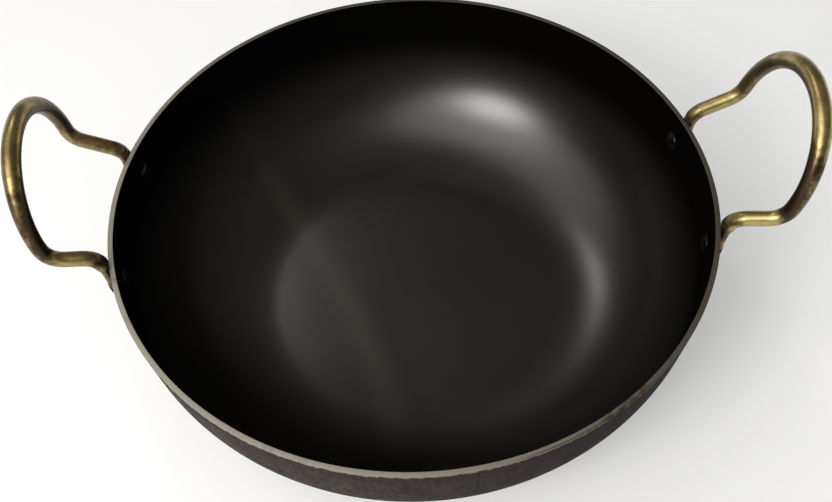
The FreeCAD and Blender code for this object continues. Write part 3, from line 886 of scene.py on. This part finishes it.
@dataclass(frozen=True)
class PanBody:
    """The pressed pan: flat base, round knuckle, short flared wall and a sheared rim."""

    rim_outer: float
    height: float
    gauge: float = 2.5 * MM
    flare: float = math.radians(6.0)
    bowl_radius: float = 65 * MM
    rim_break: float = 0.4 * MM
    ripple: float = 0.25 * MM
    ripple_depth: float = 15 * MM
    ripple_wave: Grain = Grain(4.0)
    steps_round: int = 384
    base_steps: int = 12
    arc_steps: int = 44
    wall_steps: int = 10
    edge_steps: int = 5

    @classmethod
    def from_frame(cls) -> "PanBody":
        """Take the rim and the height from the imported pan."""
        _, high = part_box("pan_body")
        return cls(rim_outer=high.x, height=high.z)

    def wall_point(self, node: str) -> WallPoint:
        """Find where a rivet of the frame crosses the outside of the wall.

        Args:
            node: the rivet's node.

        Returns:
            The point and the wall's directions there.
        """
        low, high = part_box(node)
        middle = (low + high) / 2
        radial = Vector((middle.x, middle.y, 0.0)).normalized()
        wall_radius = self.rim_outer - (self.height - middle.z) * math.tan(self.flare)
        centre = radial * wall_radius + UP * middle.z
        outward = radial * math.cos(self.flare) - UP * math.sin(self.flare)
        upward = radial * math.sin(self.flare) + UP * math.cos(self.flare)
        return WallPoint(centre, outward, upward)

    def stations(self) -> list[Station]:
        """Work out the sheet's section.

        Returns:
            Radius, height and zone from the middle of the underside round to the middle of the floor.
        """
        rim_inner = self.rim_outer - self.gauge / math.cos(self.flare)
        centre_height = self.gauge + self.bowl_radius
        wall_drop = self.height - centre_height + self.bowl_radius * math.sin(self.flare)
        base = rim_inner - wall_drop * math.tan(self.flare) - self.bowl_radius * math.cos(self.flare)
        arc_end = math.pi / 2 - self.flare
        turns = [arc_end * step / self.arc_steps for step in range(self.arc_steps + 1)]

        def knuckle(radius: float) -> list[Vector]:
            """Give the arc between base and wall."""
            return [Vector((base + radius * math.sin(turn), 0.0, centre_height - radius * math.cos(turn)))
                    for turn in turns]

        outer_arc = knuckle(self.bowl_radius + self.gauge)
        inner_arc = knuckle(self.bowl_radius)[::-1]
        rim_outside = Vector((self.rim_outer, 0.0, self.height))
        rim_inside = Vector((rim_inner, 0.0, self.height))
        outer_edge = rounded(outer_arc[-1], rim_outside, rim_inside, self.rim_break, self.edge_steps)
        inner_edge = rounded(rim_outside, rim_inside, inner_arc[0], self.rim_break, self.edge_steps)
        underside = between(Vector((0.0, 0.0, 0.0)), outer_arc[0], self.base_steps)
        outer_wall = between(outer_arc[-1], outer_edge[0], self.wall_steps)
        inner_wall = between(inner_edge[-1], inner_arc[0], self.wall_steps)
        middle = Vector((0.0, 0.0, self.gauge))
        floor = between(inner_arc[-1], middle, self.base_steps)
        runs = (
            (underside + outer_arc[:-1] + outer_wall, Zone.OUTSIDE, Zone.OUTSIDE),
            (outer_edge, Zone.OUTSIDE, Zone.RIM),
            (inner_edge, Zone.RIM, Zone.INSIDE),
            (inner_wall[1:] + inner_arc[:-1] + floor + [middle], Zone.INSIDE, Zone.INSIDE),
        )
        stations = []
        for points, first, last in runs:
            gain = (last.value - first.value) / self.edge_steps
            stations += [(point.x, point.z, first.value + gain * step) for step, point in enumerate(points)]
        return stations

    def build(self, finish: Material) -> Object:
        """Turn the pan, with a slight ripple at its sheared rim.

        Args:
            finish: the pan's material.

        Returns:
            The pan's mesh.
        """
        sheet = ShapeSheet("pan_lathe", {
            "Section": section_object("pan_section", self.stations()),
            "Steps round": self.steps_round,
            "Height": self.height,
            "Ripple": self.ripple,
            "Ripple depth": self.ripple_depth,
            "Finish": finish,
        })
        turned = sheet.lathe(sheet.shape_of("Section"), sheet.given["Steps round"])
        place = sheet.position()
        _, _, z = sheet.split(place)
        wave = sheet.swing(sheet.around(place), self.ripple_wave)
        fade_from = sheet.minus(sheet.given["Height"], sheet.given["Ripple depth"])
        share = sheet.ramp(z, fade_from, sheet.given["Height"])
        lift = sheet.times(sheet.times(wave, share), sheet.given["Ripple"])
        return sheet.make("pan_shell", sheet.move(turned, Offset=sheet.upright(lift)))

    def dress(self, piece: Object) -> None:
        """Tell the frame what the piece stands for.

        Args:
            piece: the pan's mesh.
        """
        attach(piece, BODY)
        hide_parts("pan_body")


@dataclass(frozen=True)
class Leg:
    """One leg of a handle as it was bent by hand, measured from the rim and from the loop's middle."""

    foot: Foot
    shoulder_rise: float
    knee_rise: float
    knee_side: float
    knee_reach: float


@dataclass(frozen=True)
class LoopHandle:
    """One handle: a bent round bar whose ends are flattened into feet."""

    side: Side
    pan: PanBody
    lean: float
    loop_side: float
    front: Leg
    rear: Leg
    bar: float = 7 * MM
    foot_gauge: float = 4 * MM
    foot_tail: float = 9 * MM
    foot_fullness: float = 0.6
    tip_width_power: float = 0.5
    tip_gauge_power: float = 0.2
    spread_over_rivet: float = 4 * MM
    foot_over_rim: float = 0.6 * MM
    foot_slant: float = math.radians(9.0)
    seat_gap: float = 0.1 * MM
    shoulder_bend: float = 8.5 * MM
    knee_bend: float = 11 * MM
    grip_start: float = 30 * MM
    grip_end: float = 75 * MM
    grip_swell: float = 0.17
    dents: Grain = Grain(55.0, 3.0)
    dent: float = 0.04
    # the direction of the side of the bar that is painted in shade, away from the light
    stained_side: Vector = Vector((-0.62, 0.35, -0.7))
    step: float = 1.1 * MM
    tip_steps: int = 10
    bend_steps: int = 12
    grip_steps: int = 110
    steps_round: int = 40

    @property
    def foot_width(self) -> float:
        """The width that the bar's metal spreads to in the foot."""
        return self.foot_gauge + math.pi / 4 * (self.bar ** 2 - self.foot_gauge ** 2) / self.foot_gauge

    @property
    def dark_side(self) -> Vector:
        """The direction that the side of the bar painted in shade faces: in towards the pan, back and down,
        away from the light.
        """
        return self.stained_side * Vector((self.side.value, 1.0, 1.0))

    @property
    def foot_fall(self) -> float:
        """The height gained for each length along a foot."""
        return math.cos(self.pan.flare) * math.cos(self.foot_slant)

    def wall_point(self, leg: Leg) -> WallPoint:
        """Find the leg's rivet on the wall.

        Args:
            leg: the leg.

        Returns:
            The rivet's place, with the foot's slant in the upward direction.
        """
        wall = self.pan.wall_point(f"{self.side.word}_{leg.foot.word}_rivet")
        slant = Matrix.Rotation(self.side.value * self.foot_slant, 3, wall.outward)
        return WallPoint(wall.centre, wall.outward, slant @ wall.upward)

    def half_route(self, leg: Leg) -> tuple[list[Vector], Vector, float]:
        """Follow the bar's centre line from the tip of one foot to the side of the loop.

        Args:
            leg: the leg that the line runs up.

        Returns:
            The points, the direction that the loop leans in, and the length of foot and neck.
        """
        wall = self.wall_point(leg)
        middle = wall.centre + wall.outward * (self.seat_gap + self.foot_gauge / 2)
        drop = self.pan.height - wall.centre.z
        shoulder = middle + wall.upward * ((drop + leg.shoulder_rise) / self.foot_fall)
        knee = Vector((self.side.value * (self.pan.rim_outer + leg.knee_reach),
                       leg.foot.value * leg.knee_side,
                       self.pan.height + leg.knee_rise))
        rise = Vector((self.side.value * math.cos(self.lean), 0.0, math.sin(self.lean)))
        tip = middle - wall.upward * self.foot_tail
        tip_length = self.foot_width / 2
        turns = [math.pi / 2 * step / self.tip_steps for step in range(self.tip_steps)]
        round_end = [tip + wall.upward * (tip_length * (1 - math.cos(turn))) for turn in turns]
        shoulder_arc = rounded(tip, shoulder, knee, self.shoulder_bend, self.bend_steps)
        knee_arc = rounded(shoulder, knee, knee + rise, self.knee_bend, self.bend_steps)
        upright = self.straight(tip + wall.upward * tip_length, shoulder_arc[0])
        leg_run = self.straight(shoulder_arc[-1], knee_arc[0])[1:]
        points = round_end + upright + shoulder_arc + leg_run + knee_arc
        points.append(knee + rise * self.loop_side)
        return points, rise, (shoulder_arc[0] - tip).length

    def straight(self, start: Vector, end: Vector) -> list[Vector]:
        """Give the points of a straight run, the last one left out."""
        return between(start, end, max(2, round((end - start).length / self.step)))

    def route(self) -> Object:
        """Follow the whole bar, from the front foot over the grip to the rear foot.

        Returns:
            A helper curve.
        """
        front, rise, _ = self.half_route(self.front)
        rear, _, _ = self.half_route(self.rear)
        centre = (front[-1] + rear[-1]) / 2
        half_width = (rear[-1] - front[-1]) / 2
        turns = [math.pi * step / self.grip_steps for step in range(1, self.grip_steps)]
        grip = [centre - half_width * math.cos(turn) + rise * (half_width.length * math.sin(turn))
                for turn in turns]
        points = front + grip + rear[::-1]
        name = f"{self.side.word}_route"
        curve = bpy.data.curves.new(name, "CURVE")
        curve.dimensions = "3D"
        spline = curve.splines.new("POLY")
        spline.points.add(len(points) - 1)
        for spot, point in zip(spline.points, points):
            spot.co = (*point, 1.0)
        return new_object(name, curve)

    def bent(self, sheet: ShapeSheet) -> Socket:
        """Run a bar along the route and flatten its two ends into feet.

        Args:
            sheet: the handle's tree.

        Returns:
            The bar, whose points carry their reach from the nearer end and how far they face away.
        """
        given = sheet.given
        along = sheet.add("GeometryNodeSplineParameter").outputs["Length"]
        whole = sheet.add("GeometryNodeSplineLength").outputs["Length"]
        reach = sheet.math("MINIMUM", along, sheet.minus(whole, along))
        capture = sheet.add("GeometryNodeCaptureAttribute", {"Geometry": sheet.shape_of("Route")})
        kept = (
            ("VECTOR", "Centre", sheet.position()),
            ("VECTOR", "Run", sheet.add("GeometryNodeInputTangent").outputs[0]),
            ("FLOAT", "Reach", reach),
        )
        for kind, name, value in kept:
            capture.capture_items.new(kind, name)
            sheet.feed(capture.inputs[name], value)
        ring = sheet.add("GeometryNodeCurvePrimitiveCircle", {
            "Resolution": given["Steps round"], "Radius": given["Bar radius"]})
        bar = sheet.add("GeometryNodeCurveToMesh", {
            "Curve": capture.outputs["Geometry"], "Profile Curve": ring.outputs["Curve"], "Fill Caps": True})
        centre, run, reach = (capture.outputs[name] for _, name, _ in kept)

        radial = sheet.scale(sheet.around(centre), sheet.math("COSINE", given["Wall flare"]))
        dip = sheet.upright(sheet.math("SINE", given["Wall flare"]))
        outward = sheet.vector("SUBTRACT", radial, dip)
        sideways = sheet.vector("NORMALIZE", sheet.vector("CROSS_PRODUCT", run, outward))
        offset = sheet.vector("SUBTRACT", sheet.position(), centre)
        tip = sheet.math("MINIMUM", sheet.math("DIVIDE", reach, given["Tip length"]), 1.0)
        tip = sheet.minus(1.0, sheet.math("POWER", sheet.minus(1.0, tip), 2.0))

        def pressed(direction: Socket, size: str, tip_power: float) -> tuple[Socket, Socket]:
            """Press a point of the bar along a direction.

            Args:
                direction: the direction.
                size: the input with the foot's half size that way.
                tip_power: how bluntly the foot ends that way.

            Returns:
                How far the point lies along the direction in the round bar and in the flat foot.
            """
            own = sheet.measure("DOT_PRODUCT", offset, direction)
            share = sheet.math("DIVIDE", own, given["Bar radius"])
            full = sheet.math("POWER", sheet.math("ABSOLUTE", share), self.foot_fullness)
            half = sheet.times(given[size], sheet.math("POWER", tip, tip_power))
            return own, sheet.times(sheet.times(sheet.math("SIGN", share), full), half)

        round_width, flat_width = pressed(sideways, "Foot half width", self.tip_width_power)
        _, flat_gauge = pressed(outward, "Foot half gauge", self.tip_gauge_power)
        spread = sheet.fall(reach, given["Spread length"], given["Flat length"])
        width = sheet.blend(spread, round_width, flat_width)
        flattened = sheet.vector("ADD", sheet.scale(sideways, width), sheet.scale(outward, flat_gauge))
        flatness = sheet.fall(reach, given["Flat length"], given["Neck end"])
        mixed = sheet.merge(flatness, offset, flattened)
        swell = sheet.times_plus(sheet.swing(sheet.position(), self.dents), given["Dent"], 1.0)
        grip = sheet.ramp(reach, given["Grip start"], given["Grip end"])
        swell = sheet.times_plus(grip, given["Grip swell"], swell)
        # how far the surface faces the side that is painted in shade, for the finish to read
        away = sheet.measure("DOT_PRODUCT", sheet.vector("NORMALIZE", mixed), given["Dark side"])
        place = sheet.vector("ADD", centre, sheet.scale(mixed, swell))
        shaped = sheet.store(sheet.move(bar.outputs[0], Position=place), "away", away)
        return sheet.close(sheet.store(shaped, "reach", reach))

    def build(self, finish: Material) -> Object:
        """Bend the bar and flatten its feet.

        Args:
            finish: the handle's material.

        Returns:
            The handle's mesh.
        """
        _, _, neck_end = self.half_route(self.front)
        drop = self.pan.height - self.wall_point(self.front).centre.z
        sheet = ShapeSheet(f"{self.side.word}_bent_bar", {
            "Route": self.route(),
            "Bar radius": self.bar / 2,
            "Steps round": self.steps_round,
            "Foot half width": self.foot_width / 2,
            "Foot half gauge": self.foot_gauge / 2,
            "Spread length": self.foot_tail + self.spread_over_rivet,
            "Flat length": self.foot_tail + (drop + self.foot_over_rim) / self.foot_fall,
            "Neck end": neck_end,
            "Tip length": self.foot_width / 2,
            "Wall flare": self.pan.flare,
            "Grip start": neck_end + self.grip_start,
            "Grip end": neck_end + self.grip_end,
            "Grip swell": self.grip_swell,
            "Dark side": self.dark_side,
            "Dent": self.dent,
            "Finish": finish,
        })
        return sheet.make(f"{self.side.word}_loop", self.bent(sheet))

    def dress(self, piece: Object) -> None:
        """Tell the frame what the piece stands for.

        Args:
            piece: the handle's mesh.
        """
        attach(piece, BODY)
        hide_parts(f"{self.side.word}_handle")


@dataclass(frozen=True)
class RivetPair:
    """The two rivets of one handle: a low head inside the pan, a shank and a tail formed on the foot."""

    side: Side
    pan: PanBody
    head: float = 10 * MM
    head_height: float = 2 * MM
    head_seat: float = 2.69 * MM
    tail: float = 9 * MM
    tail_height: float = 1.6 * MM
    tail_seat: float = 4.2 * MM
    shank: float = 5 * MM
    land: float = 0.4 * MM
    dents: Grain = Grain(260.0)
    dent: float = 0.18 * MM
    crown_steps: int = 12
    steps_round: int = 48

    def dome(self, radius: float, seat: float, height: float, way: int) -> list[Station]:
        """Work out the section of one head.

        Args:
            radius: the head's radius.
            seat: the distance of its flat side from the outside of the wall.
            height: its height.
            way: 1 outside the wall, -1 inside.

        Returns:
            Radius, height and zone from the crown to the shank.
        """
        rise = height - self.land
        ball = (radius ** 2 + rise ** 2) / (2 * rise)
        edge = math.asin(radius / ball)
        turns = [edge * step / self.crown_steps for step in range(self.crown_steps + 1)]
        points = [(ball * math.sin(turn), seat + height - ball * (1 - math.cos(turn))) for turn in turns]
        points += [(radius, seat), (self.shank / 2, seat)]
        return [(out, way * level, Zone.OUTSIDE.value) for out, level in points]

    def stations(self) -> list[Station]:
        """Work out the rivet's section, with Z out of the wall.

        Returns:
            Radius, height and zone from the crown of the head to the crown of the tail.
        """
        head = self.dome(self.head / 2, self.head_seat, self.head_height, -1)
        tail = self.dome(self.tail / 2, self.tail_seat, self.tail_height, 1)
        return head + tail[::-1]

    def seats(self) -> Object:
        """Find where the rivets sit.

        Returns:
            A helper with one point for each rivet, carrying the direction out of the wall.
        """
        walls = [self.pan.wall_point(f"{self.side.word}_{foot.word}_rivet") for foot in Foot]
        mesh = bpy.data.meshes.new(f"{self.side.word}_seats")
        mesh.from_pydata([wall.centre for wall in walls], [], [])
        outward = mesh.attributes.new("outward", "FLOAT_VECTOR", "POINT")
        outward.data.foreach_set("vector", [part for wall in walls for part in wall.outward])
        return new_object(mesh.name, mesh)

    def build(self, finish: Material) -> Object:
        """Turn a rivet and set it on both seats.

        Args:
            finish: the rivets' material.

        Returns:
            One mesh with the two rivets.
        """
        sheet = ShapeSheet(f"{self.side.word}_rivet_row", {
            "Section": section_object("rivet_section", self.stations()),
            "Seats": self.seats(),
            "Steps round": self.steps_round,
            "Dent": self.dent,
            "Finish": finish,
        })
        rivet = sheet.lathe(sheet.shape_of("Section"), sheet.given["Steps round"])
        outward = sheet.read("outward", "FLOAT_VECTOR")
        turn = sheet.add("FunctionNodeAlignRotationToVector", {"Vector": outward}, axis="Z")
        row = sheet.add("GeometryNodeInstanceOnPoints", {
            "Points": sheet.shape_of("Seats"), "Instance": rivet, "Rotation": turn.outputs[0]})
        real = sheet.add("GeometryNodeRealizeInstances", {"Geometry": row.outputs[0]}).outputs[0]
        dents = sheet.times(sheet.swing(sheet.position(), self.dents), sheet.given["Dent"])
        normal = sheet.add("GeometryNodeInputNormal").outputs[0]
        return sheet.make(f"{self.side.word}_rivets", sheet.move(real, Offset=sheet.scale(normal, dents)))

    def dress(self, piece: Object) -> None:
        """Tell the frame what the piece stands for.

        Args:
            piece: the mesh of the two rivets.
        """
        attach(piece, BODY)
        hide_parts(*(f"{self.side.word}_{foot.word}_rivet" for foot in Foot))


@dataclass(frozen=True)
class Lamp:
    """A soft round lamp, hung so that its reflection falls on one point of the pan."""

    name: str
    glint: Vector
    direction: Vector
    distance: float
    size: float
    power: float
    colour: tuple[float, float, float] = (1.0, 0.98, 0.945)

    def hang(self) -> None:
        """Hang the lamp and turn it to its point."""
        data = bpy.data.lights.new(self.name, "AREA")
        data.shape = "DISK"
        data.size = self.size
        data.energy = self.power
        data.color = self.colour
        lamp = new_object(self.name, data)
        lamp.location = self.glint + self.direction.normalized() * self.distance
        lamp.rotation_euler = (self.glint - lamp.location).to_track_quat("-Z", "Y").to_euler()


@dataclass(frozen=True)
class Studio:
    """The pale floor, the lamps, the surroundings and the camera."""

    eye: Vector = Vector((-5.55, -302.6, 443.6)) * MM
    aim: Vector = Vector((-0.15, -33.28, 82.0)) * MM
    roll: float = math.radians(-2.619)
    lens: float = 43.21
    sensor: float = 36.0
    floor_size: float = 8.0
    floor_drop: float = 0.2 * MM
    floor_colour: Colour = (0.62, 0.62, 0.62, 1.0)
    floor_shade: Colour = (0.6, 0.6, 0.595, 1.0)
    floor_cloud: Grain = Grain(3.0)
    floor_rough: float = 0.9
    floor_glow: float = 0.3
    white_span: Span = (0.3, 1.2)
    unlit: Colour = (0.0, 0.0, 0.0, 1.0)
    white: Colour = (1.0, 1.0, 1.0, 1.0)
    soft_light: Colour = (0.4, 0.4, 0.4, 1.0)
    high_wall: Colour = (0.1, 0.094, 0.088, 1.0)
    high_wall_span: Span = (0.05, 0.24)
    ceiling: Colour = (0.205, 0.168, 0.137, 1.0)
    ceiling_span: Span = (0.5, 0.8)
    overhead: Colour = (0.15, 0.123, 0.1, 1.0)
    overhead_span: Span = (0.8, 0.97)
    far_wall: Vector = Vector((53, 110, 24)) * MM
    right_wall: Vector = Vector((88, 50, 10)) * MM
    right_knuckle: Vector = Vector((94, -8, 6)) * MM

    def camera(self) -> None:
        """Set the camera at the photograph's angle."""
        data = bpy.data.cameras.new("camera")
        data.lens = self.lens
        data.sensor_width = self.sensor
        data.sensor_fit = "HORIZONTAL"
        forward = (self.aim - self.eye).normalized()
        level = forward.cross(UP).normalized()
        upright = level.cross(forward)
        right = level * math.cos(self.roll) + upright * math.sin(self.roll)
        top = upright * math.cos(self.roll) - level * math.sin(self.roll)
        turn = Matrix((right, top, -forward)).transposed().to_4x4()
        camera = new_object("camera", data)
        camera.matrix_world = Matrix.Translation(self.eye) @ turn
        bpy.context.scene.camera = camera

    def floor(self) -> None:
        """Lay the floor that the pan stands on."""
        half = self.floor_size / 2
        mesh = bpy.data.meshes.new("floor")
        corners = [(-half, -half), (half, -half), (half, half), (-half, half)]
        mesh.from_pydata([(x, y, -self.floor_drop) for x, y in corners], [], [(0, 1, 2, 3)])
        mesh.materials.append(self.floor_finish())
        new_object("floor", mesh)

    def floor_finish(self) -> Material:
        """Draw the floor: pale round the pan, running out to the white of the backdrop.

        Returns:
            The floor's material.
        """
        sheet = FinishSheet("pale_floor")
        place = sheet.place()
        path = sheet.add("ShaderNodeLightPath").outputs
        shown = sheet.larger(path["Is Camera Ray"], path["Is Glossy Ray"])
        shown = sheet.larger(shown, path["Is Transmission Ray"])
        far = sheet.ramp(sheet.measure("LENGTH", place), *self.white_span)
        pale = sheet.tint(sheet.noise(place, self.floor_cloud), self.floor_colour, self.floor_shade)
        return sheet.surface({
            "Base Color": sheet.tint(far, pale, self.unlit),
            "Roughness": self.floor_rough,
            "Specular IOR Level": 0.0,
            "Emission Color": self.white,
            "Emission Strength": sheet.times(shown, sheet.blend(far, self.floor_glow, 1.0)),
        })

    def surroundings(self) -> None:
        """Set the world: a white backdrop, a plain soft light and a dim ceiling over it in reflections."""
        world = bpy.data.worlds.new("studio")
        world.use_nodes = True
        bpy.context.scene.world = world
        sheet = NodeSheet(world.node_tree)
        sheet.tree.nodes.clear()
        _, _, height = sheet.split(sheet.add("ShaderNodeTexCoord").outputs["Generated"])
        path = sheet.add("ShaderNodeLightPath").outputs
        room = sheet.tint(sheet.ramp(height, *self.ceiling_span), self.high_wall, self.ceiling)
        room = sheet.tint(sheet.ramp(height, *self.overhead_span), room, self.overhead)
        room = sheet.tint(sheet.ramp(height, *self.high_wall_span), self.white, room)
        colour = sheet.tint(path["Is Glossy Ray"], self.soft_light, room)
        straight = sheet.larger(path["Is Camera Ray"], path["Is Transmission Ray"])
        colour = sheet.tint(straight, colour, self.white)
        light = sheet.add("ShaderNodeBackground", {"Color": colour, "Strength": 1.0})
        sheet.add("ShaderNodeOutputWorld", {"Surface": light.outputs[0]})

    def lamps(self) -> tuple[Lamp, ...]:
        """List the lamps.

        Returns:
            Every lamp, with its distance and size in metres and its power in watts.
        """
        return (
            Lamp("front_left_lamp", self.far_wall, Vector((-0.53, -0.62, 0.58)),
                 distance=1.2, size=0.46, power=6.7),
            Lamp("front_left_halo", self.far_wall, Vector((-0.37, -0.5, 0.785)),
                 distance=1.25, size=1.1, power=5.0),
            Lamp("left_lamp", self.right_wall, Vector((-0.6, 0.0, 0.8)),
                 distance=1.2, size=1.0, power=2.3),
            Lamp("rear_left_lamp", self.right_knuckle, Vector((-0.38, 0.57, 0.73)),
                 distance=1.3, size=0.18, power=1.15),
        )

    def build(self) -> None:
        """Set up everything round the pan."""
        bpy.context.scene.view_settings.view_transform = "Standard"
        self.camera()
        self.floor()
        self.surroundings()
        for lamp in self.lamps():
            lamp.hang()


def main() -> None:
    """Load the frame, build the pan, its handles and rivets, and set up the studio."""
    logging.basicConfig(level=logging.INFO)
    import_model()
    pan = PanBody.from_frame()
    left = LoopHandle(
        Side.LEFT, pan, lean=math.radians(82.0), loop_side=7.5 * MM,
        front=Leg(Foot.FRONT, shoulder_rise=9.4 * MM, knee_rise=14.2 * MM,
                  knee_side=36.5 * MM, knee_reach=18.3 * MM),
        rear=Leg(Foot.REAR, shoulder_rise=3.8 * MM, knee_rise=14.4 * MM,
                 knee_side=36.4 * MM, knee_reach=18.9 * MM))
    right = LoopHandle(
        Side.RIGHT, pan, lean=math.radians(73.0), loop_side=6.6 * MM,
        front=Leg(Foot.FRONT, shoulder_rise=9.6 * MM, knee_rise=14.2 * MM,
                  knee_side=38.5 * MM, knee_reach=19.2 * MM),
        rear=Leg(Foot.REAR, shoulder_rise=6.2 * MM, knee_rise=15.2 * MM,
                 knee_side=37.5 * MM, knee_reach=18.6 * MM))
    left_brass = BrassFinish(
        "dull_brass", bright=(0.4, 0.304, 0.126, 1.0), dull=(0.21, 0.15, 0.058, 1.0),
        stained_to=118 * MM, root_to=54 * MM)
    right_brass = BrassFinish(
        "golden_brass", bright=(0.53, 0.435, 0.187, 1.0), dull=(0.29, 0.224, 0.09, 1.0),
        stained_to=108 * MM, root_to=40 * MM)
    rivet_iron = RivetFinish().material()
    parts = [
        (pan, PanFinish(pan.height, BareRim(pan.rim_outer)).material()),
        (left, left_brass.material()),
        (right, right_brass.material()),
        (RivetPair(Side.LEFT, pan), rivet_iron),
        (RivetPair(Side.RIGHT, pan), rivet_iron),
    ]
    for part, finish in parts:
        piece = part.build(finish)
        part.dress(piece)
        LOG.info("%s: %d faces", piece.name, len(piece.data.polygons))
    Studio().build()


if __name__ == "__main__":
    main()
